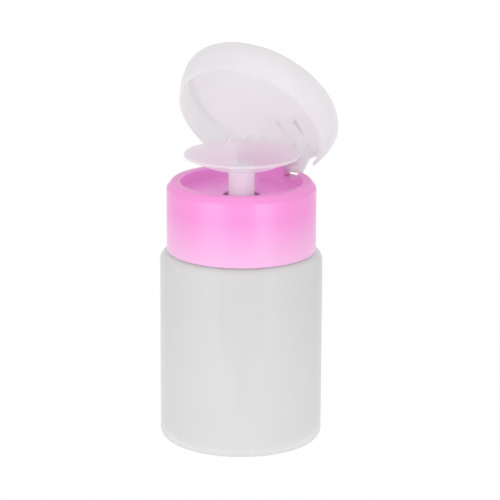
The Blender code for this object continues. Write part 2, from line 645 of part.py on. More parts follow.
def make_lid():
    """The lid is a thin shell, cut away behind, with two arms that clip onto the collar's trunnions.

    A slanting tongue under the crown backs the right arm.
    """
    outer = lid_outline(0, 0)
    inner = lid_outline(LID_WALL, LID_RIM_WALL)
    lid = turned("lid", outer + inner[::-1], WIDE_STEPS, natural)
    middle_of_wall = lid_outline(LID_WALL / 2, LID_RIM_WALL / 2)
    whole = turned("lid_form", middle_of_wall + [(0, LID_RIM)], WIDE_STEPS)
    back = block(
        "lid_back_cut",
        (-LID_CUT_WIDTH / 2, HINGE_Y - ARM_RADIUS * 2, LID_RIM - CUT_OVERRUN),
        (LID_CUT_WIDTH / 2, LID_MAX_RADIUS + CUT_OVERRUN, LID_RIM + LID_CUT_HEIGHT),
    )
    combine(lid, back, "DIFFERENCE")
    over = LID_RIM + LID_CROWN + CUT_OVERRUN
    profile = arc((HINGE_Y, HINGE_Z), ARM_RADIUS, 180, 360, 3 * FILLET_STEPS)
    profile += [(HINGE_Y + ARM_RADIUS, over), (HINGE_Y - ARM_RADIUS, over)]
    for side, name in ((-1, "left"), (1, "right")):
        middle = side * (KNUCKLE_WIDTH / 2 + ARM_GAP + ARM_WIDTH / 2)
        arm = plate(f"lid_arm_{name}", profile, ARM_WIDTH, middle)
        combine(arm, whole, "INTERSECT")
        combine(lid, arm, "UNION")
    under = LID_RIM + LID_CROWN - LID_WALL - TONGUE_DEPTH
    tongue = block("lid_tongue", (-TONGUE_WIDTH / 2, TONGUE_START, under), (TONGUE_WIDTH / 2, HINGE_Y, over))
    tongue.data.transform(Matrix.Rotation(-math.radians(TONGUE_TURN), 4, "Z"))
    combine(tongue, whole, "INTERSECT")
    combine(lid, tongue, "UNION")
    bore_length = HINGE_WIDTH + 2 * CUT_OVERRUN
    bore = rod("lid_arm_bore", TRUNNION_RADIUS + TRUNNION_GAP, bore_length, (0, HINGE_Y, HINGE_Z))
    combine(lid, bore, "DIFFERENCE")
    hinge = bpy.data.objects.new("lid_hinge_axis", None)
    hinge.location = (0, HINGE_Y, HINGE_Z)
    hinge.rotation_euler.x = -math.radians(LID_OPEN)
    part.objects.link(hinge)
    for piece in [lid] + [tool for tool in tools.objects if tool.name.startswith("lid_")]:
        piece.parent = hinge
        piece.location = (0, -HINGE_Y, -HINGE_Z)


make_bottle()
make_collar()
make_pump()
make_cage()
make_spring()
make_plunger()
make_lid()
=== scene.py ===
"""Looks of the press-top dispenser bottle: frosted bottle, pink collar, press pump and milky lid."""
import json
import math

import bmesh
import bpy
from mathutils import Matrix, Vector


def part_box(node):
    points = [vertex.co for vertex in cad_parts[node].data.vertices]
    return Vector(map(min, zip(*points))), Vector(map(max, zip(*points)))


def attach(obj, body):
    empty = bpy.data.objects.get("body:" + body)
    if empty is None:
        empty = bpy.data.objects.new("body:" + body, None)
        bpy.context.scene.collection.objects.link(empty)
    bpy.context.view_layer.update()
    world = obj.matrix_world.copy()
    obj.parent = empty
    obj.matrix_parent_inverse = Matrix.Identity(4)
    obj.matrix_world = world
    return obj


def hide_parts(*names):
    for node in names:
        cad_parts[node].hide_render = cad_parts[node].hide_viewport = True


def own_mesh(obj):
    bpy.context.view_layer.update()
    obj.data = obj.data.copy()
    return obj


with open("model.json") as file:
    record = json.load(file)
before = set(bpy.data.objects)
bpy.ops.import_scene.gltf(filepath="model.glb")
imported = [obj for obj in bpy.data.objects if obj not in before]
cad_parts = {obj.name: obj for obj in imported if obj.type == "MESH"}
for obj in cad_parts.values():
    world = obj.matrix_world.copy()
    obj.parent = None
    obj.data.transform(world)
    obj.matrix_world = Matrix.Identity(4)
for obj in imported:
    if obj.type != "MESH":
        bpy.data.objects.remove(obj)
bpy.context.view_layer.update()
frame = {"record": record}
scene = bpy.context.scene

# Bottle
# A blow-moulded bottle of natural plastic with a frosted outside, about 1 mm thick. It is one shell:
# body, round shoulder, neck with a screw thread, and a base that stands on a broad foot ring.
BOTTLE_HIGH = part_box("bottle")[1]
BODY_RADIUS = BOTTLE_HIGH.x
BODY_WALL = 0.001
SHOULDER = 0.0523
SHOULDER_FILLET = 0.0025
FOOT_FILLET = 0.002
NECK_RADIUS = 0.0146
NECK_BORE = 0.0126
NECK_TOP = BOTTLE_HIGH.z
GROOVE_OUTER = 0.018
GROOVE_INNER = 0.012
GROOVE_DEPTH = 0.0008
BOTTLE_FLOOR = 0.002
EDGE = 0.0003
THREAD_PITCH = 0.004
THREAD_DEPTH = 0.001
THREAD_ROOT = 0.0016
THREAD_CREST = 0.0008
THREAD_TURNS = 1.25
THREAD_START = SHOULDER + 0.0033
THREAD_LEAD = math.radians(30)
THREAD_OVERLAP = 0.0003
ROUND_STEPS = 192
FILLET_STEPS = 6
SHARP_ANGLE = math.radians(32)
MERGE_DISTANCE = 0.0000005
CLOUD_SIZE = 0.011
CLOUD_SHARE = 0.6
FLOW_SIZE = 0.004
FLOW_STRETCH = (1, 1, 0.15)
GLOSS_SPREAD = 0.12
RIPPLE_SIZE = 0.006
RIPPLE_STRETCH = (1, 1, 0.4)
RIPPLE_DEPTH = 0.00003
FROST_GRAIN = 0.00025
FROST_DEPTH = 0.000004
PLASTIC_IOR = 1.49
FROST = (0.90, 0.90, 0.90)
FROST_SHADE = (0.87, 0.87, 0.87)


def rounded(corners):
    """An outline from (radius, height, fillet) corners. A corner with a fillet is drawn as an arc."""
    outline = []
    for i, (r, z, fillet) in enumerate(corners):
        here = Vector((r, z))
        if not fillet:
            outline.append(here)
            continue
        to_last = (Vector(corners[i - 1][:2]) - here).normalized()
        to_next = (Vector(corners[(i + 1) % len(corners)][:2]) - here).normalized()
        turn = to_last.angle(to_next)
        centre = here + (to_last + to_next).normalized() * fillet / math.sin(turn / 2)
        reach = fillet / math.tan(turn / 2)
        first = (here + to_last * reach - centre).normalized()
        last = (here + to_next * reach - centre).normalized()
        for k in range(FILLET_STEPS + 1):
            outline.append(centre + first.slerp(last, k / FILLET_STEPS) * fillet)
    return [(point[0], point[1]) for point in outline]


def finished(name, form):
    """Makes an object of a bmesh: doubles are merged, faces point outwards and round faces are smooth."""
    bmesh.ops.remove_doubles(form, verts=form.verts, dist=MERGE_DISTANCE)
    bmesh.ops.dissolve_degenerate(form, edges=form.edges, dist=MERGE_DISTANCE)
    bmesh.ops.recalc_face_normals(form, faces=form.faces)
    mesh = bpy.data.meshes.new(name)
    form.to_mesh(mesh)
    form.free()
    mesh.shade_smooth()
    mesh.set_sharp_from_angle(angle=SHARP_ANGLE)
    piece = bpy.data.objects.new(name, mesh)
    scene.collection.objects.link(piece)
    return piece


def lathe(name, outline, steps=ROUND_STEPS):
    """Spins an outline of (radius, height) points round the bottle's axis."""
    form = bmesh.new()
    points = [form.verts.new((r, 0, z)) for r, z in outline]
    pairs = list(zip(points, points[1:]))
    if outline[0][0] > 0:
        pairs.append((points[-1], points[0]))
    for pair in pairs:
        form.edges.new(pair)
    bmesh.ops.spin(
        form, geom=form.verts[:] + form.edges[:], cent=(0, 0, 0), axis=(0, 0, 1), angle=math.tau,
        steps=steps, use_merge=True,
    )
    return finished(name, form)


def joined(piece, tool, operation="UNION"):
    """Cuts a piece with a tool, or joins them, for good, and throws the tool away."""
    change = piece.modifiers.new(tool.name, "BOOLEAN")
    change.operation = operation
    change.solver = "MANIFOLD"
    change.object = tool
    mesh = bpy.data.meshes.new_from_object(piece.evaluated_get(bpy.context.evaluated_depsgraph_get()))
    mesh.materials.clear()
    piece.modifiers.clear()
    old = piece.data
    piece.data = mesh
    bpy.data.meshes.remove(old)
    bpy.data.objects.remove(tool)
    mesh.name = piece.name
    mesh.set_sharp_from_angle(angle=SHARP_ANGLE)
    return piece


def thread(name, wall, crest, start_angle, start_height):
    """A screw thread's ridge: a section spun up its helix, with both ends run out into the wall.

    It is turned by half a step, so its edges fall between the wall's and the join leaves no slivers.
    """
    form = bmesh.new()
    root = wall + math.copysign(THREAD_OVERLAP, wall - crest)
    section = [(root, -THREAD_ROOT / 2), (root, THREAD_ROOT / 2)]
    section += [(crest, THREAD_CREST / 2), (crest, -THREAD_CREST / 2)]
    corners = [form.verts.new((r, 0, z + start_height)) for r, z in section]
    face = form.faces.new(corners)
    steps = int(ROUND_STEPS * THREAD_TURNS)
    rise = Vector((0, 0, THREAD_PITCH * THREAD_TURNS / steps))
    bmesh.ops.spin(
        form, geom=[face], cent=(0, 0, 0), axis=(0, 0, 1), dvec=rise, angle=math.tau * THREAD_TURNS,
        steps=steps,
    )
    for vert in form.verts:
        reach = math.hypot(vert.co.x, vert.co.y)
        if abs(reach - crest) > abs(reach - root):
            continue
        climbed = (vert.co.z - start_height) / THREAD_PITCH
        turn = math.tau * min(max(climbed, 0), THREAD_TURNS)
        left = math.tau * THREAD_TURNS - turn
        full = min(1, turn / THREAD_LEAD, left / THREAD_LEAD)
        short = (wall + (crest - wall) * full) / reach
        vert.co.x *= short
        vert.co.y *= short
    form.transform(Matrix.Rotation(start_angle + math.pi / ROUND_STEPS, 4, "Z"))
    return finished(name, form)


class Tone:
    """A number, colour or vector in a material's nodes. Arithmetic on tones adds the Math nodes."""

    def __init__(self, tree, socket=None):
        self.tree = tree
        self.socket = socket

    def node(self, kind, settings, inputs, output=0):
        """Adds a node, sets it up, feeds its inputs with values or tones, and gives an output."""
        made = self.tree.nodes.new(kind)
        for key, value in settings.items():
            setattr(made, key, value)
        for key, value in inputs.items():
            if isinstance(value, Tone):
                self.tree.links.new(value.socket, made.inputs[key])
            else:
                made.inputs[key].default_value = value
        return Tone(self.tree, made.outputs[output])

    def math(self, operation, other):
        return self.node("ShaderNodeMath", {"operation": operation}, {0: self, 1: other})

    def __add__(self, other):
        return self.math("ADD", other)

    def __mul__(self, other):
        return self.math("MULTIPLY", other)

    def __sub__(self, other):
        return self.math("SUBTRACT", other)

    def __rsub__(self, other):
        return (self * -1) + other

    __radd__ = __add__
    __rmul__ = __mul__

    def clamp(self):
        """Keeps a number between 0 and 1."""
        return self.node("ShaderNodeClamp", {}, {"Value": self})

    def above(self, edge, blur):
        """Goes from 0 to 1 as a number passes an edge, over a width of blur."""
        return ((self - edge) * (1 / blur) + 0.5).clamp()

    def place(self, turn=(0, 0, 0), shift=(0, 0, 0)):
        """Object coordinates along X, Y and Z in metres, turned and shifted."""
        point = self.node("ShaderNodeTexCoord", {}, {}, "Object")
        point = self.node("ShaderNodeMapping", {}, {"Vector": point, "Rotation": turn, "Location": shift})
        return [self.node("ShaderNodeSeparateXYZ", {}, {0: point}, axis) for axis in "XYZ"]

    def blend(self, factor, first, second):
        """Goes from one colour to another as the factor goes from 0 to 1.

        A Mix node has its two colours in sockets 6 and 7, and their mix in output 2.
        """
        colours = {"Factor": factor, 6: first, 7: second}
        return self.node("ShaderNodeMix", {"data_type": "RGBA"}, colours, 2)

    def noise(self, size, detail=3, stretch=(1, 1, 1)):
        """Noise on object coordinates, in patches about size metres across, stretched along an axis."""
        place = self.node("ShaderNodeTexCoord", {}, {}, "Object")
        place = self.node("ShaderNodeMapping", {}, {"Vector": place, "Scale": stretch})
        inputs = {"Vector": place, "Scale": 1 / size, "Detail": detail}
        return self.node("ShaderNodeTexNoise", {}, inputs)


def new_material(name):
    """An empty material with its Principled shader, and a tone to start its sums from."""
    material = bpy.data.materials.new(name)
    material.use_nodes = True
    shader = material.node_tree.nodes["Principled BSDF"]
    return material, shader, Tone(material.node_tree)


def moulded(
    name, colour, shade, roughness, glow=0.0, clear=0.0, grain=FROST_GRAIN, depth=FROST_DEPTH, tint=None,
):
    """Moulded plastic: a cloudy colour, patches of unlike gloss, and a fine skin with slow ripples.

    clear is the share of light that passes straight through each face, or a function that gives it from
    place to place. glow is the share of the rest that comes out scattered on the other side, as it does in
    milky plastic. tint is a function that changes the colour from place to place.
    """
    material, shader, tone = new_material(name)
    tree = material.node_tree
    cloud = tone.noise(CLOUD_SIZE, detail=4)
    flow = tone.noise(FLOW_SIZE, stretch=FLOW_STRETCH)
    paint = tone.blend(cloud * CLOUD_SHARE + flow * (1 - CLOUD_SHARE), (*shade, 1), (*colour, 1))
    if tint:
        paint = tint(tone, paint)
    tree.links.new(paint.socket, shader.inputs["Base Color"])
    gloss = roughness - GLOSS_SPREAD / 2 + GLOSS_SPREAD * cloud
    tree.links.new(gloss.socket, shader.inputs["Roughness"])
    ripple = tone.noise(RIPPLE_SIZE, detail=1, stretch=RIPPLE_STRETCH)
    skin = tone.noise(grain, detail=2)
    height = ripple * RIPPLE_DEPTH + skin * depth
    bump = tone.node("ShaderNodeBump", {}, {"Height": height, "Distance": 1.0, "Strength": 1.0})
    tree.links.new(bump.socket, shader.inputs["Normal"])
    shader.inputs["IOR"].default_value = PLASTIC_IOR
    surface = Tone(tree, shader.outputs[0])
    if glow:
        scatter = tone.node("ShaderNodeBsdfTranslucent", {}, {"Color": (*colour, 1)})
        surface = tone.node("ShaderNodeMixShader", {}, {0: glow, 1: surface, 2: scatter})
    if clear:
        window = tone.node("ShaderNodeBsdfTransparent", {}, {"Color": (1, 1, 1, 1)})
        share = clear(tone) if callable(clear) else clear
        surface = tone.node("ShaderNodeMixShader", {}, {0: share, 1: surface, 2: window})
    tree.links.new(surface.socket, tree.nodes["Material Output"].inputs["Surface"])
    return material


wall = BODY_RADIUS - BODY_WALL
bottle = lathe("bottle_shell", rounded([
    (0, BOTTLE_FLOOR, 0), (wall, BOTTLE_FLOOR, FOOT_FILLET - BODY_WALL),
    (wall, SHOULDER - BODY_WALL, SHOULDER_FILLET - BODY_WALL),
    (NECK_BORE, SHOULDER - BODY_WALL, BODY_WALL),
    (NECK_BORE, NECK_TOP, EDGE), (NECK_RADIUS, NECK_TOP, EDGE), (NECK_RADIUS, SHOULDER, EDGE),
    (BODY_RADIUS, SHOULDER, SHOULDER_FILLET), (BODY_RADIUS, 0, FOOT_FILLET), (GROOVE_OUTER, 0, EDGE),
    (GROOVE_OUTER - GROOVE_DEPTH, GROOVE_DEPTH, EDGE), (GROOVE_INNER + GROOVE_DEPTH, GROOVE_DEPTH, EDGE),
    (GROOVE_INNER, 0, EDGE), (0, 0, 0),
]))
joined(bottle, thread("neck_thread", NECK_RADIUS, NECK_RADIUS + THREAD_DEPTH, 0, THREAD_START))
bottle.data.materials.append(moulded(
    "frosted_plastic", FROST, FROST_SHADE, roughness=0.45, glow=0.5, clear=0.3,
))
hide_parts("bottle")
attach(bottle, "bottle")

# Collar
# A pink screw collar, moulded in one: a plain skirt outside a threaded sleeve, a recess in the top for the
# dish, and behind it a gap in the rim with the hinge's knuckle and its two trunnions.
COLLAR_LOW, COLLAR_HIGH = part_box("collar")
COLLAR_RADIUS = COLLAR_HIGH.x
COLLAR_WALL = 0.0013
COLLAR_FOOT = COLLAR_LOW.z
RECESS_RADIUS = 0.0165
RECESS_FLOOR = 0.0679
COLLAR_FLOOR = 0.0012
RECESS_FILLET = 0.0006
RECESS_EDGE = 0.0005
RIM_RADIUS = 0.0188
RIM_TOP = 0.0717
RIM_FILLET = 0.0008
RIM_CORNER = 0.0699
CORNER_FILLET = 0.0009
SLEEVE_WALL = 0.0012
SLEEVE_RISE = 0.002
SLEEVE_FOOT = COLLAR_FOOT + SLEEVE_RISE
SLEEVE_GAP = 0.0003
RIB_COUNT = 12
RIB_THICKNESS = 0.0009
RIB_RISE = 0.006
RIB_FOOT = COLLAR_FOOT + RIB_RISE
FLOOR_HOLE = 0.0049
HINGE_Y = 0.0178
HINGE_Z = 0.0738
KNUCKLE_RADIUS = 0.0018
KNUCKLE_WIDTH = 0.0094
TRUNNION_RADIUS = 0.0011
TRUNNION_REACH = 0.008
NOTCH_HALF = 0.010
NOTCH_FRONT = 0.0117
OVERRUN = 0.001
FINE_EDGE = 0.0002
EDGE_STEPS = 3
ARC_STEPS = 24
BAR_STEPS = 48
SATIN_GRAIN = 0.0003
SATIN_DEPTH = 0.000002
PINK = (0.85, 0.26, 0.64)
PINK_SHADE = (0.84, 0.235, 0.62)
# Painted light: a paler pink toward the collar's foot.
FOOT_LIGHT_PINK = (0.86, 0.45, 0.74)
FOOT_LIGHT_HEIGHT = 0.012
# Painted light: a brighter pink inside the recess, where it lies in shade.
RECESS_LIGHT_PINK = (0.95, 0.38, 0.80)
RECESS_LIGHT_BLUR = 0.0008


def round_off(form, edges, size):
    """Rounds edges of a bmesh off."""
    bmesh.ops.bevel(
        form, geom=edges, offset=size, affect="EDGES", segments=EDGE_STEPS, profile=0.5, material=-1,
    )


def slab(name, outline, low, high, edge):
    """A flat plate across X from low to high, on an outline of (y, z) points, with rounded edges."""
    form = bmesh.new()
    face = form.faces.new([form.verts.new((low, y, z)) for y, z in outline])
    grown = bmesh.ops.extrude_face_region(form, geom=[face])["geom"]
    top = [item for item in grown if isinstance(item, bmesh.types.BMVert)]
    bmesh.ops.translate(form, verts=top, vec=(high - low, 0, 0))
    bmesh.ops.recalc_face_normals(form, faces=form.faces)
    if edge:
        sides = [e for e in form.edges if abs(e.verts[0].co.x - e.verts[1].co.x) < edge]
        round_off(form, sides, edge)
    return finished(name, form)


def disc_arc(y, z, radius, start, end):
    """Points of an arc in the plane across the hinge, from one angle in degrees to another."""
    angles = [math.radians(start + (end - start) * i / ARC_STEPS) for i in range(ARC_STEPS + 1)]
    return [(y + radius * math.cos(a), z + radius * math.sin(a)) for a in angles]


def bar(name, radius, low, high, y, z, edge):
    """A round bar across X from low to high, with rounded ends."""
    form = bmesh.new()
    bmesh.ops.create_cone(
        form, cap_ends=True, segments=BAR_STEPS, radius1=radius, radius2=radius, depth=high - low,
    )
    rims = [e for e in form.edges if abs(e.verts[0].co.z - e.verts[1].co.z) < edge]
    round_off(form, rims, edge)
    form.transform(Matrix.Translation(((low + high) / 2, y, z)) @ Matrix.Rotation(math.pi / 2, 4, "Y"))
    return finished(name, form)


def cuboid(name, low, high):
    """A box between two corners."""
    form = bmesh.new()
    bmesh.ops.create_cube(form, size=1)
    middle = (Vector(low) + Vector(high)) / 2
    form.transform(Matrix.Translation(middle) @ Matrix.Diagonal((*(Vector(high) - Vector(low)), 1)))
    return finished(name, form)


def painted_foot_and_recess_light(tone, paint):
    """Painted light: the collar's colour is paler toward its thin foot, for the light that comes through it
    there, and brighter inside the recess.
    """
    x, y, z = tone.place()
    outside = (x * x + y * y).math("SQRT", 0).above(RECESS_RADIUS + RECESS_LIGHT_BLUR / 2, RECESS_LIGHT_BLUR)
    recess = (1 - outside) * z.above(RECESS_FLOOR - RECESS_LIGHT_BLUR, RECESS_LIGHT_BLUR)
    paint = tone.blend(recess, paint, (*RECESS_LIGHT_PINK, 1))
    full = z.above(COLLAR_FOOT + FOOT_LIGHT_HEIGHT / 2, FOOT_LIGHT_HEIGHT)
    return tone.blend(full, (*FOOT_LIGHT_PINK, 1), paint)


skirt = COLLAR_RADIUS - COLLAR_WALL
sleeve_bore = NECK_RADIUS + THREAD_DEPTH + SLEEVE_GAP
sleeve = sleeve_bore + SLEEVE_WALL
underside = RECESS_FLOOR - COLLAR_FLOOR
collar = lathe("collar_shell", rounded([
    (RIM_RADIUS, RIM_TOP, RIM_FILLET), (COLLAR_RADIUS, RIM_CORNER, CORNER_FILLET),
    (COLLAR_RADIUS, COLLAR_FOOT, EDGE), (skirt, COLLAR_FOOT, EDGE), (skirt, underside, EDGE),
    (sleeve, underside, EDGE), (sleeve, SLEEVE_FOOT, EDGE), (sleeve_bore, SLEEVE_FOOT, EDGE),
    (sleeve_bore, underside, EDGE), (FLOOR_HOLE, underside, EDGE), (FLOOR_HOLE, RECESS_FLOOR, EDGE),
    (RECESS_RADIUS, RECESS_FLOOR, RECESS_FILLET), (RECESS_RADIUS, RIM_TOP, RECESS_EDGE),
]))
collar_start = THREAD_START + THREAD_PITCH / 2 - (THREAD_ROOT + THREAD_CREST) / 2 - SLEEVE_GAP
joined(collar, thread("collar_thread", sleeve_bore, sleeve_bore - THREAD_DEPTH, math.pi, collar_start))
for i in range(RIB_COUNT):
    rib = cuboid(
        "rib", (sleeve - SLEEVE_WALL / 2, -RIB_THICKNESS / 2, RIB_FOOT),
        (skirt + COLLAR_WALL / 2, RIB_THICKNESS / 2, underside + COLLAR_FLOOR / 2),
    )
    rib.data.transform(Matrix.Rotation(math.tau * (i + 0.5) / RIB_COUNT, 4, "Z"))
    joined(collar, rib)
joined(collar, cuboid(
    "rim_notch", (-NOTCH_HALF, NOTCH_FRONT, RIM_CORNER),
    (NOTCH_HALF, COLLAR_RADIUS + OVERRUN, RIM_TOP + OVERRUN),
), "DIFFERENCE")
foot = RECESS_FLOOR - COLLAR_FLOOR / 2
knuckle = [(HINGE_Y - KNUCKLE_RADIUS, foot)] + disc_arc(HINGE_Y, HINGE_Z, KNUCKLE_RADIUS, 180, 0)
knuckle += [(HINGE_Y + KNUCKLE_RADIUS, foot)]
joined(collar, slab("knuckle", knuckle, -KNUCKLE_WIDTH / 2, KNUCKLE_WIDTH / 2, FINE_EDGE))
joined(collar, bar(
    "trunnions", TRUNNION_RADIUS, -TRUNNION_REACH, TRUNNION_REACH, HINGE_Y, HINGE_Z, FINE_EDGE,
))
# The pink's colour carries painted light at the foot and inside the recess.
pink = moulded(
    "pink_plastic", PINK, PINK_SHADE, roughness=0.3, grain=SATIN_GRAIN, depth=SATIN_DEPTH, tint=painted_foot_and_recess_light,
)
pink.node_tree.nodes["Principled BSDF"].inputs["Specular IOR Level"].default_value = 1.0
collar.data.materials.append(pink)
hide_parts("collar")
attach(collar, "closure")

# Gasket, pump housing, stem guide and dip tube
# The pump hangs in the neck: a milky cylinder with a flange on a soft ring, a vent hole in its side, a
# guide ring snapped into its mouth, and at its foot a valve seat and a spigot. A short tube, cut at a
# slant below, is pushed into the spigot.
HOUSING_LOW, HOUSING_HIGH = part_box("pump_housing")
HOUSING_RADIUS = 0.0061
HOUSING_WALL = 0.0008
FLANGE = 0.0011
HOUSING_FOOT = 0.0218
HOUSING_FILLET = 0.0012
SPIGOT = 0.0028
SOCKET = 0.00175
SOCKET_DEPTH = 0.003
INLET_BORE = 0.0012
INLET_SEAT = 0.021
INLET_POCKET = 0.0024
CAGE_GAP = 0.0003
CHAMBER_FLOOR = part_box("ball_cage")[0].z - CAGE_GAP
VENT_RADIUS = 0.0006
GASKET_BORE = 0.0129
GUIDE_BORE = 0.0036
PUMP_STEPS = 96
TUBE_BORE = 0.0011
TUBE_SLANT = math.radians(45)
TUBE_STEPS = 64
TINY_EDGE = 0.0001
SOFT_GRAIN = 0.0004
NATURAL = (0.84, 0.83, 0.85)
NATURAL_SHADE = (0.80, 0.80, 0.82)
FOAM = (0.80, 0.81, 0.82)
FOAM_SHADE = (0.74, 0.75, 0.76)
WHITE = (0.95, 0.93, 0.95)
WHITE_SHADE = (0.92, 0.90, 0.93)
TUBE = (0.86, 0.86, 0.88)
TUBE_SHADE = (0.82, 0.83, 0.85)


def ring_of(node, bore, edge):
    """The section of a plain ring as large as a node, with a bore and rounded edges."""
    low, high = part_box(node)
    return rounded([
        (high.x, high.z, edge), (high.x, low.z, edge), (bore, low.z, edge), (bore, high.z, edge),
    ])


bore = HOUSING_RADIUS - HOUSING_WALL
flange_foot = HOUSING_HIGH.z - FLANGE
socket_end = HOUSING_LOW.z + SOCKET_DEPTH
housing = lathe("pump_barrel", rounded([
    (HOUSING_HIGH.x, HOUSING_HIGH.z, EDGE), (HOUSING_HIGH.x, flange_foot, EDGE),
    (HOUSING_RADIUS, flange_foot, EDGE), (HOUSING_RADIUS, HOUSING_FOOT, HOUSING_FILLET),
    (SPIGOT, HOUSING_FOOT, EDGE), (SPIGOT, HOUSING_LOW.z, EDGE),
    (SOCKET, HOUSING_LOW.z, 0), (SOCKET, socket_end, 0), (INLET_BORE, socket_end, 0),
    (INLET_BORE, INLET_SEAT, 0), (INLET_POCKET, INLET_SEAT + INLET_POCKET - INLET_BORE, 0),
    (INLET_POCKET, CHAMBER_FLOOR, 0), (bore, CHAMBER_FLOOR, EDGE), (bore, HOUSING_HIGH.z, EDGE),
]), PUMP_STEPS)
vent_height = (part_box("piston")[0].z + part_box("piston")[1].z) / 2
vent = bar("vent_hole", VENT_RADIUS, bore / 2, 2 * HOUSING_RADIUS, 0, vent_height, EDGE)
joined(housing, vent, "DIFFERENCE")
housing.data.materials.append(moulded(
    "pump_plastic", NATURAL, NATURAL_SHADE, roughness=0.35, glow=0.4, clear=0.2,
))
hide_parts("pump_housing")
gasket = lathe("neck_ring", ring_of("neck_gasket", GASKET_BORE, FINE_EDGE), PUMP_STEPS)
foam = moulded("soft_foam_plastic", FOAM, FOAM_SHADE, roughness=0.6, grain=SOFT_GRAIN)
gasket.data.materials.append(foam)
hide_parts("neck_gasket")
guide = lathe("guide_ring", ring_of("stem_guide", GUIDE_BORE, FINE_EDGE), PUMP_STEPS)
white_plastic = moulded(
    "white_plastic", WHITE, WHITE_SHADE, roughness=0.35, grain=SATIN_GRAIN, depth=SATIN_DEPTH,
)
guide.data.materials.append(white_plastic)
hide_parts("stem_guide")
tube = lathe("inlet_tube", ring_of("dip_tube", TUBE_BORE, TINY_EDGE), TUBE_STEPS)
tube_low, tube_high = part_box("dip_tube")
beside = 2 * tube_high.x
under = tube_low.z - math.tan(TUBE_SLANT) * (beside - tube_high.x)
slant = [(-beside, under), (beside, under), (beside, under + math.tan(TUBE_SLANT) * 2 * beside)]
joined(tube, slab("tube_slant", slant, -beside, beside, 0), "DIFFERENCE")
tube.data.materials.append(moulded(
    "tube_plastic", TUBE, TUBE_SHADE, roughness=0.25, glow=0.4, clear=0.6,
))
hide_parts("dip_tube")
for piece in (housing, gasket, guide, tube):
    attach(piece, "pump")

# Valve balls, ball cage and return spring
# Two polished steel balls close the pump's inlet and outlet, a white cross cage holds the lower one down,
# and a drawn wire spring stands on the cage and lifts the piston.
SPRING_WIRE = 0.0007
SPRING_RADIUS = 0.0034
SPRING_TURNS = 8
SPRING_END_GAP = 0.00045
SPRING_STEPS = 32
BALL_SEGMENTS = 48
BALL_RINGS = 32
CAGE_BORE = 0.0029
CAGE_BAR = 0.001
CAGE_BAR_FOOT = 0.0001
CAGE_BAR_TOP = 0.0008
STEEL = (0.68, 0.69, 0.70)
STEEL_SHADE = (0.56, 0.57, 0.58)
STEEL_PATCH = 0.0008
STEEL_ROUGHNESS = 0.16


def drawn_steel(name):
    """Bright steel with a faint grain and unlike gloss in patches."""
    material, shader, tone = new_material(name)
    patch = tone.noise(STEEL_PATCH)
    tint = tone.blend(patch, (*STEEL_SHADE, 1), (*STEEL, 1))
    material.node_tree.links.new(tint.socket, shader.inputs["Base Color"])
    gloss = STEEL_ROUGHNESS + GLOSS_SPREAD * patch
    material.node_tree.links.new(gloss.socket, shader.inputs["Roughness"])
    shader.inputs["Metallic"].default_value = 1.0
    return material


steel = drawn_steel("bright_steel")
for name, node, body in (
    ("inlet_valve_ball", "inlet_ball", "inlet_valve"),
    ("outlet_valve_ball", "outlet_ball", "outlet_valve"),
):
    low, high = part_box(node)
    form = bmesh.new()
    radius = (high.z - low.z) / 2
    bmesh.ops.create_uvsphere(form, u_segments=BALL_SEGMENTS, v_segments=BALL_RINGS, radius=radius)
    form.transform(Matrix.Translation((0, 0, (low.z + high.z) / 2)))
    ball = finished(name, form)
    ball.data.materials.append(steel)
    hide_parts(node)
    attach(ball, body)
cage_low, cage_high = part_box("ball_cage")
cage = lathe("valve_cage", ring_of("ball_cage", CAGE_BORE, FINE_EDGE), PUMP_STEPS)
reach = (CAGE_BORE + cage_high.x) / 2
bar_low = cage_low.z + CAGE_BAR_FOOT
bar_high = cage_low.z + CAGE_BAR_TOP
joined(cage, cuboid("cage_bar_x", (-reach, -CAGE_BAR / 2, bar_low), (reach, CAGE_BAR / 2, bar_high)))
joined(cage, cuboid("cage_bar_y", (-CAGE_BAR / 2, -reach, bar_low), (CAGE_BAR / 2, reach, bar_high)))
cage.data.materials.append(white_plastic)
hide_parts("ball_cage")
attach(cage, "pump")


def spring_wire(low, high):
    """The spring's wire as a smooth tube: a closely wound turn at each end and even turns between."""
    curve = bpy.data.curves.new("spring_wire", "CURVE")
    curve.dimensions = "3D"
    curve.bevel_depth = SPRING_WIRE / 2
    curve.bevel_resolution = 3
    curve.use_fill_caps = True
    first = low + SPRING_WIRE / 2
    end_pitch = SPRING_WIRE + SPRING_END_GAP
    pitch = (high - low - SPRING_WIRE - 2 * end_pitch) / SPRING_TURNS
    spline = curve.splines.new("POLY")
    count = (SPRING_TURNS + 2) * SPRING_STEPS + 1
    spline.points.add(count - 1)
    for i, point in enumerate(spline.points):
        turn = i / SPRING_STEPS
        close = min(turn, 1) + max(turn - 1 - SPRING_TURNS, 0)
        height = first + end_pitch * close + pitch * (turn - close)
        angle = math.tau * turn
        point.co = (SPRING_RADIUS * math.cos(angle), SPRING_RADIUS * math.sin(angle), height, 1)
    holder = bpy.data.objects.new("spring_path", curve)
    scene.collection.objects.link(holder)
    mesh = bpy.data.meshes.new_from_object(holder.evaluated_get(bpy.context.evaluated_depsgraph_get()))
    bpy.data.objects.remove(holder)
    form = bmesh.new()
    form.from_mesh(mesh)
    bpy.data.meshes.remove(mesh)
    return finished("lift_spring", form)


spring_low, spring_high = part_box("return_spring")
spring = spring_wire(spring_low.z, spring_high.z)
spring.data.materials.append(steel)
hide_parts("return_spring")
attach(spring, "pump")
joints = frame["record"]["behaviour"]["joints"]
stroke = next(joint["range_m"][1] for joint in joints if joint["name"] == "press_stroke")
pressed = 1 - stroke / (spring_high.z - spring_low.z)
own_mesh(spring)

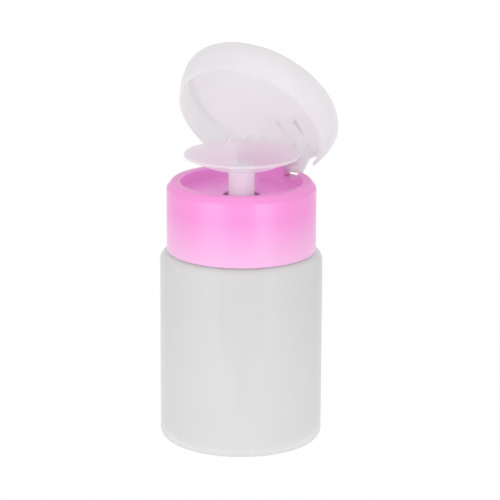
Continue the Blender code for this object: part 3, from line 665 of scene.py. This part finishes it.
# Stem, piston and press dish
# A hollow white stem with a soft lipped piston clipped on its foot. The milky dish is pushed onto the
# stem's top: a shallow bowl on a sleeve, with the outlet hole in the middle.
STEM_LOW, STEM_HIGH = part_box("stem")
STEM_RADIUS = STEM_HIGH.x
STEM_BORE = 0.001
STEM_SPIGOT = 0.0021
STEM_BARB = 0.0026
BARB_LENGTH = 0.0008
OUTLET_POCKET = 0.0018
OUTLET_DEPTH = 0.00072
OUTLET_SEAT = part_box("outlet_ball")[0].z - OUTLET_DEPTH
STEM_GAP = 0.0003
PISTON_LOW, PISTON_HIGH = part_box("piston")
PISTON_BORE = 0.0024
PISTON_WAIST = 0.0044
PISTON_LIP = 0.0008
PISTON_CONE = 1.5 * PISTON_LIP
PISTON_GROOVE = 0.0007
SEAL = (0.78, 0.80, 0.82)
SEAL_SHADE = (0.72, 0.74, 0.76)
DISH_LOW, DISH_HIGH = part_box("press_dish")
DISH_RADIUS = DISH_HIGH.x
DISH_DEPTH = 0.0041
DISH_HUB = DISH_HIGH.z - DISH_DEPTH
DISH_EDGE = 0.0008
DISH_SLEEVE = 0.0047
DISH_PUSH_GAP = 0.00015
DISH_BORE = STEM_RADIUS + DISH_PUSH_GAP
DISH_ROOM = 0.0003
DISH_CEILING = DISH_HUB + DISH_ROOM
DISH_WEB = 0.0012
DISH_FLOOR = DISH_CEILING + DISH_WEB
DISH_WELL = 0.0036
DISH_OUTLET = 0.0009
OUTLET_FILLET = 0.0003
LIP_STEPS = 16
BOWL_STEPS = 24
UNDERSIDE_BOW = 1.15
BOWL_BOW = 0.9
SLEEVE_TOP = 0.001
SLEEVE_BLUR = 0.001
SLEEVE_CLEAR = 0.95
BOWL_CLEAR = 0.35
DISH_WHITE = (0.97, 0.965, 0.97)
DISH_SHADE = (0.95, 0.945, 0.95)

shoulder = PISTON_HIGH.z + STEM_GAP
barb_top = STEM_LOW.z + BARB_LENGTH
stem = lathe("stem_tube", rounded([
    (STEM_RADIUS, STEM_HIGH.z, FINE_EDGE), (STEM_RADIUS, shoulder, FINE_EDGE), (STEM_SPIGOT, shoulder, 0),
    (STEM_SPIGOT, barb_top, 0), (STEM_BARB, barb_top, TINY_EDGE), (STEM_SPIGOT, STEM_LOW.z, TINY_EDGE),
    (STEM_BORE, STEM_LOW.z, 0), (STEM_BORE, OUTLET_SEAT, 0),
    (OUTLET_POCKET, OUTLET_SEAT + OUTLET_POCKET - STEM_BORE, 0), (OUTLET_POCKET, STEM_HIGH.z, FINE_EDGE),
]), PUMP_STEPS)
stem.data.materials.append(white_plastic)
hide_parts("stem")
groove = (PISTON_BORE + PISTON_HIGH.x) / 2
top, bottom, lip = PISTON_HIGH.z, PISTON_LOW.z, PISTON_HIGH.x
piston = lathe("piston_seal", rounded([
    (lip, top, TINY_EDGE), (lip, top - PISTON_LIP, FINE_EDGE), (PISTON_WAIST, top - PISTON_CONE, FINE_EDGE),
    (PISTON_WAIST, bottom + PISTON_CONE, FINE_EDGE), (lip, bottom + PISTON_LIP, FINE_EDGE),
    (lip, bottom, TINY_EDGE), (PISTON_BORE, bottom, TINY_EDGE), (PISTON_BORE, top, TINY_EDGE),
    (groove - PISTON_GROOVE, top, TINY_EDGE), (groove, top - PISTON_GROOVE, FINE_EDGE),
    (groove + PISTON_GROOVE, top, TINY_EDGE),
]), PUMP_STEPS)
piston.data.materials.append(moulded(
    "soft_seal_plastic", SEAL, SEAL_SHADE, roughness=0.5, grain=SOFT_GRAIN,
))
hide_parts("piston")


def dish_section():
    """Half of the dish's section: rounded rim, bowed underside, sleeve, socket, outlet hole and bowl.

    The rim's arc stops just before the underside, which carries on from it.
    """
    rim = DISH_HIGH.z
    lip = DISH_EDGE / 2
    section = []
    for i in range(LIP_STEPS - 1):
        angle = math.pi * i / LIP_STEPS
        section.append((DISH_RADIUS - lip + lip * math.sin(angle), rim - lip + lip * math.cos(angle)))
    start = DISH_RADIUS - DISH_EDGE / 4
    for i in range(1, BOWL_STEPS + 1):
        share = i / BOWL_STEPS
        drop = (rim - DISH_EDGE - DISH_HUB) * math.sin(share * math.pi / 2) ** UNDERSIDE_BOW
        section.append((start - (start - DISH_SLEEVE) * share, rim - DISH_EDGE - drop))
    section += rounded([
        (DISH_SLEEVE, DISH_HUB - SLEEVE_TOP, 0), (DISH_SLEEVE, DISH_LOW.z, EDGE),
        (DISH_BORE, DISH_LOW.z, FINE_EDGE), (DISH_BORE, DISH_CEILING, 0),
        (DISH_OUTLET, DISH_CEILING, TINY_EDGE), (DISH_OUTLET, DISH_FLOOR, OUTLET_FILLET),
        (DISH_WELL, DISH_FLOOR, 0),
    ])
    reach = DISH_RADIUS - DISH_EDGE - DISH_WELL
    for i in range(1, BOWL_STEPS + 1):
        share = i / BOWL_STEPS
        rise = (rim - DISH_FLOOR) * (1 - math.cos(share * math.pi / 2)) ** BOWL_BOW
        section.append((DISH_WELL + reach * share, DISH_FLOOR + rise))
    return section


def sleeve_window(tone):
    """The sleeve clings to the white stem, which shows clearly through it, and the bowl is milkier."""
    height = tone.place()[2]
    return SLEEVE_CLEAR - (SLEEVE_CLEAR - BOWL_CLEAR) * height.above(DISH_HUB, SLEEVE_BLUR)


dish = lathe("dish_shell", dish_section())
dish.data.materials.append(moulded(
    "dish_plastic", DISH_WHITE, DISH_SHADE, roughness=0.3, glow=0.5, clear=sleeve_window,
))
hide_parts("press_dish")
for piece in (stem, piston, dish):
    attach(piece, "press")

# Lid
# A thin domed shell of the same milky plastic. It is cut away behind, where two arms reach down from its
# crown and clip onto the collar's trunnions. It is drawn shut and then opened about the hinge.
LID_OPEN = math.radians(55)
LID_RIM = 0.0705
LID_RIM_RADIUS = 0.0209
LID_MAX_RADIUS = 0.0225
LID_RIM_WALL = 0.0008
LID_WALL = 0.0009
LID_FLARE = 0.0071
LID_CORNER = 0.0024
LID_CROWN = 0.0131
LID_CROWN_ANGLE = math.radians(70)
CROWN_STEPS = 24
CORNER_STEPS = 12
FLARE_STEPS = 12
LID_CUT_HALF = 0.015
LID_CUT_HEIGHT = 0.0075
LID_CUT_FRONT = 0.0134
ARM_GAP = 0.0003
ARM_WIDTH = 0.0046
ARM_FRONT = 0.0022
ARM_EYE = 0.0029
ARM_BORE = 0.00116
ARM_EDGE = 0.0004
TONGUE_TURN = math.radians(20)
TONGUE_HALF = 0.003
TONGUE_START = 0.0093
TONGUE_DEPTH = 0.0024
TONGUE_UNDER = LID_RIM + LID_CROWN - LID_WALL - TONGUE_DEPTH
MILKY = (0.92, 0.91, 0.92)
MILKY_SHADE = (0.90, 0.89, 0.90)
# Painted shade: a darker grey round the lid's corner.
CORNER_SHADE_GREY = (0.78, 0.78, 0.785)
CORNER_SHADE_SHARE = 0.9
CORNER_REACH = 0.0016
# Painted shadow: a dark grey line along the tongue's side.
TONGUE_SHADOW_GREY = (0.35, 0.35, 0.36)
TONGUE_SHADOW_WIDTH = 0.0005
LINE_PROUD = 0.0002
LINE_BLUR = 0.0001
LINE_MARGIN = 0.0005
CROWN_FALL = 8.4


def lid_side(inset, rim_inset):
    """One side of the lid's section from its crown to its rim, set in by a wall's thickness or by none."""
    side = []
    corner = LID_CORNER - inset
    crown = LID_RIM + LID_CROWN - inset
    middle = (LID_MAX_RADIUS - LID_CORNER, LID_RIM + LID_FLARE)
    start = LID_CROWN_ANGLE
    edge = (middle[0] + corner * math.cos(start), middle[1] + corner * math.sin(start))
    for i in range(CROWN_STEPS):
        share = i / CROWN_STEPS
        side.append((edge[0] * share, crown + (edge[1] - crown) * share ** 2))
    for i in range(CORNER_STEPS + 1):
        angle = start * (1 - i / CORNER_STEPS)
        side.append((middle[0] + corner * math.cos(angle), middle[1] + corner * math.sin(angle)))
    wide = LID_MAX_RADIUS - inset
    narrow = LID_RIM_RADIUS - rim_inset
    for i in range(1, FLARE_STEPS + 1):
        share = 1 - i / FLARE_STEPS
        flared = narrow + (wide - narrow) * math.sin(share * math.pi / 2)
        side.append((flared, LID_RIM + LID_FLARE * share))
    return side


lid = lathe("lid_shell", lid_side(0, 0) + lid_side(LID_WALL, LID_RIM_WALL)[::-1])
joined(lid, cuboid(
    "lid_back_cut", (-LID_CUT_HALF, LID_CUT_FRONT, LID_RIM - OVERRUN),
    (LID_CUT_HALF, LID_MAX_RADIUS + OVERRUN, LID_RIM + LID_CUT_HEIGHT),
), "DIFFERENCE")
over = LID_RIM + LID_CROWN + OVERRUN
inside_wall = lid_side(LID_WALL / 2, LID_RIM_WALL / 2)[:-FLARE_STEPS]
inside_wall += [(inside_wall[-1][0], LID_RIM - OVERRUN), (0, LID_RIM - OVERRUN)]
arm_start = 180 - math.degrees(math.acos(ARM_FRONT / ARM_EYE))
arm_section = disc_arc(HINGE_Y, HINGE_Z, ARM_EYE, arm_start, 360)
arm_section += [(HINGE_Y + ARM_EYE, over), (HINGE_Y - ARM_FRONT, over)]
for side in (-1, 1):
    near = side * (KNUCKLE_WIDTH / 2 + ARM_GAP)
    far = near + side * ARM_WIDTH
    arm = slab(f"arm_{side}", arm_section, min(near, far), max(near, far), ARM_EDGE)
    joined(arm, lathe("lid_form", inside_wall), "INTERSECT")
    joined(lid, arm)
tongue_section = [
    (TONGUE_START, TONGUE_UNDER), (HINGE_Y, TONGUE_UNDER), (HINGE_Y, over), (TONGUE_START, over),
]
tongue = slab("tongue", tongue_section, -TONGUE_HALF, TONGUE_HALF, FINE_EDGE)
tongue.data.transform(Matrix.Rotation(-TONGUE_TURN, 4, "Z"))
joined(tongue, lathe("lid_form", inside_wall), "INTERSECT")
joined(lid, tongue)
through = KNUCKLE_WIDTH / 2 + ARM_GAP + ARM_WIDTH + OVERRUN
joined(lid, bar("arm_bore", ARM_BORE, -through, through, HINGE_Y, HINGE_Z, TINY_EDGE), "DIFFERENCE")
pivot = Vector((0, HINGE_Y, HINGE_Z))
opened = Matrix.Translation(pivot) @ Matrix.Rotation(-LID_OPEN, 4, "X") @ Matrix.Translation(-pivot)
lid.data.transform(opened)


def painted_corner_and_tongue_shade(tone, paint):
    """Painted shade: the lid's colour is a little darker round its corner, and a dark shadow line is
    painted beside its tongue.
    """
    shift = pivot - Matrix.Rotation(LID_OPEN, 3, "X") @ pivot
    x, y, z = tone.place((LID_OPEN, 0, 0), shift)
    radius = (x * x + y * y).math("SQRT", 0)
    out = radius - (LID_MAX_RADIUS - LID_CORNER / 2)
    up = z - (LID_RIM + LID_FLARE + LID_CORNER / 2)
    corner = (1 - (out * out + up * up) * (1 / CORNER_REACH ** 2)).clamp()
    beside = (x * math.cos(TONGUE_TURN) - y * math.sin(TONGUE_TURN) - TONGUE_HALF).math("ABSOLUTE", 0)
    crown_under = (LID_RIM + LID_CROWN - LID_WALL) - radius * radius * CROWN_FALL
    proud = (crown_under - z).above(LINE_PROUD, LINE_BLUR) * y.above(TONGUE_START - LINE_MARGIN, LINE_BLUR)
    tongue_shadow = (1 - beside * (1 / TONGUE_SHADOW_WIDTH)).clamp() * proud * z.above(TONGUE_UNDER - LINE_MARGIN, LINE_BLUR)
    paint = tone.blend(corner * CORNER_SHADE_SHARE, paint, (*CORNER_SHADE_GREY, 1))
    return tone.blend(tongue_shadow, paint, (*TONGUE_SHADOW_GREY, 1))


# The lid's colour carries painted shade round its corner and a painted shadow beside its tongue.
lid.data.materials.append(moulded(
    "lid_plastic", MILKY, MILKY_SHADE, roughness=0.3, glow=0.5, clear=0.3, tint=painted_corner_and_tongue_shade,
))
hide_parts("lid")
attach(lid, "lid")

# Studio
# A white floor, with a faint shadow under the bottle, and a white world behind it. Two soft boxes stand on
# the floor at both sides of the lens, just outside the picture. The lens is long and a little above.
CAMERA_AZIMUTH = math.radians(28)
CAMERA_HEIGHT_ANGLE = math.radians(15.484)
CAMERA_DISTANCE = 0.7187
CAMERA_SHIFT = 0.002359
CAMERA_TARGET = 0.052205
CAMERA_ROLL = math.radians(0.239)
CAMERA_LENS = 190.75
CAMERA_SENSOR = 36
FLOOR_SIZE = 6.0
FLOOR_COLOUR = (0.9, 0.9, 0.9)
FLOOR_ROUGHNESS = 0.9
FLOOR_WHITE = 0.98
WORLD_LIGHT = 0.81
BOX_DISTANCE = 0.2
BOX_HEIGHT = 0.26


def studio_floor():
    """A white floor that the camera sees as white, apart from a share of its own shadow."""
    form = bmesh.new()
    bmesh.ops.create_grid(form, x_segments=2, y_segments=2, size=FLOOR_SIZE / 2)
    floor = finished("studio_floor", form)
    material, shader, tone = new_material("white_floor")
    shader.inputs["Base Color"].default_value = (*FLOOR_COLOUR, 1)
    shader.inputs["Roughness"].default_value = FLOOR_ROUGHNESS
    shader.inputs["Specular IOR Level"].default_value = 0.0
    tree = material.node_tree
    seen = tone.node("ShaderNodeLightPath", {}, {}, "Is Camera Ray")
    glossy = tone.node("ShaderNodeLightPath", {}, {}, "Is Glossy Ray")
    through = tone.node("ShaderNodeLightPath", {}, {}, "Is Transmission Ray")
    glow = tone.node("ShaderNodeEmission", {}, {"Color": (1, 1, 1, 1), "Strength": 1.0})
    mix = tree.nodes.new("ShaderNodeMixShader")
    share = (seen + glossy + through) * FLOOR_WHITE
    tree.links.new(share.socket, mix.inputs[0])
    tree.links.new(shader.outputs[0], mix.inputs[1])
    tree.links.new(glow.socket, mix.inputs[2])
    tree.links.new(mix.outputs[0], tree.nodes["Material Output"].inputs["Surface"])
    floor.data.materials.append(material)


def soft_box(name, start, end, strength):
    """A soft box on the floor, between two angles to the right of the lens. White has a strength of 1."""
    light = bpy.data.lights.new(name, "AREA")
    light.shape = "RECTANGLE"
    light.size = 2 * BOX_DISTANCE * math.tan(math.radians(end - start) / 2)
    light.size_y = BOX_HEIGHT
    light.energy = strength * math.pi * light.size * light.size_y
    turn = CAMERA_AZIMUTH + math.radians(start + end) / 2
    lamp = bpy.data.objects.new(name, light)
    lamp.location = (BOX_DISTANCE * math.sin(turn), -BOX_DISTANCE * math.cos(turn), BOX_HEIGHT / 2)
    lamp.rotation_euler = (math.pi / 2, 0, turn)
    lamp.visible_camera = False
    scene.collection.objects.link(lamp)


def studio_world():
    """White all round, a little dimmer as a light than it looks."""
    world = bpy.data.worlds.new("studio_world")
    scene.world = world
    world.use_nodes = True
    tree = world.node_tree
    tree.nodes.clear()
    tone = Tone(tree)
    seen = tone.node("ShaderNodeLightPath", {}, {}, "Is Camera Ray")
    through = tone.node("ShaderNodeLightPath", {}, {}, "Is Transmission Ray")
    strength = WORLD_LIGHT + (seen + through) * (1 - WORLD_LIGHT)
    back = tone.node("ShaderNodeBackground", {}, {"Color": (1, 1, 1, 1), "Strength": strength})
    out = tree.nodes.new("ShaderNodeOutputWorld")
    tree.links.new(back.socket, out.inputs["Surface"])


def studio_camera():
    """The photograph's view: 28 degrees round to the right of the front, 15.5 degrees above level."""
    turn, rise = CAMERA_AZIMUTH, CAMERA_HEIGHT_ANGLE
    across = Vector((math.cos(turn), math.sin(turn), 0))
    back = Vector((math.sin(turn) * math.cos(rise), -math.cos(turn) * math.cos(rise), math.sin(rise)))
    up = back.cross(across)
    target = across * CAMERA_SHIFT + Vector((0, 0, CAMERA_TARGET))
    x_axis = across * math.cos(CAMERA_ROLL) + up * math.sin(CAMERA_ROLL)
    y_axis = up * math.cos(CAMERA_ROLL) - across * math.sin(CAMERA_ROLL)
    turned = Matrix((x_axis, y_axis, back)).transposed().to_4x4()
    camera = bpy.data.objects.new("camera", bpy.data.cameras.new("camera"))
    camera.matrix_world = Matrix.Translation(target + back * CAMERA_DISTANCE) @ turned
    camera.data.lens = CAMERA_LENS
    camera.data.sensor_width = CAMERA_SENSOR
    scene.collection.objects.link(camera)
    scene.camera = camera


studio_floor()
studio_world()
soft_box("left_box", start=-60, end=-23, strength=1.25)
soft_box("right_box", start=19, end=46, strength=1.5)
studio_camera()
scene.view_settings.view_transform = "Standard"
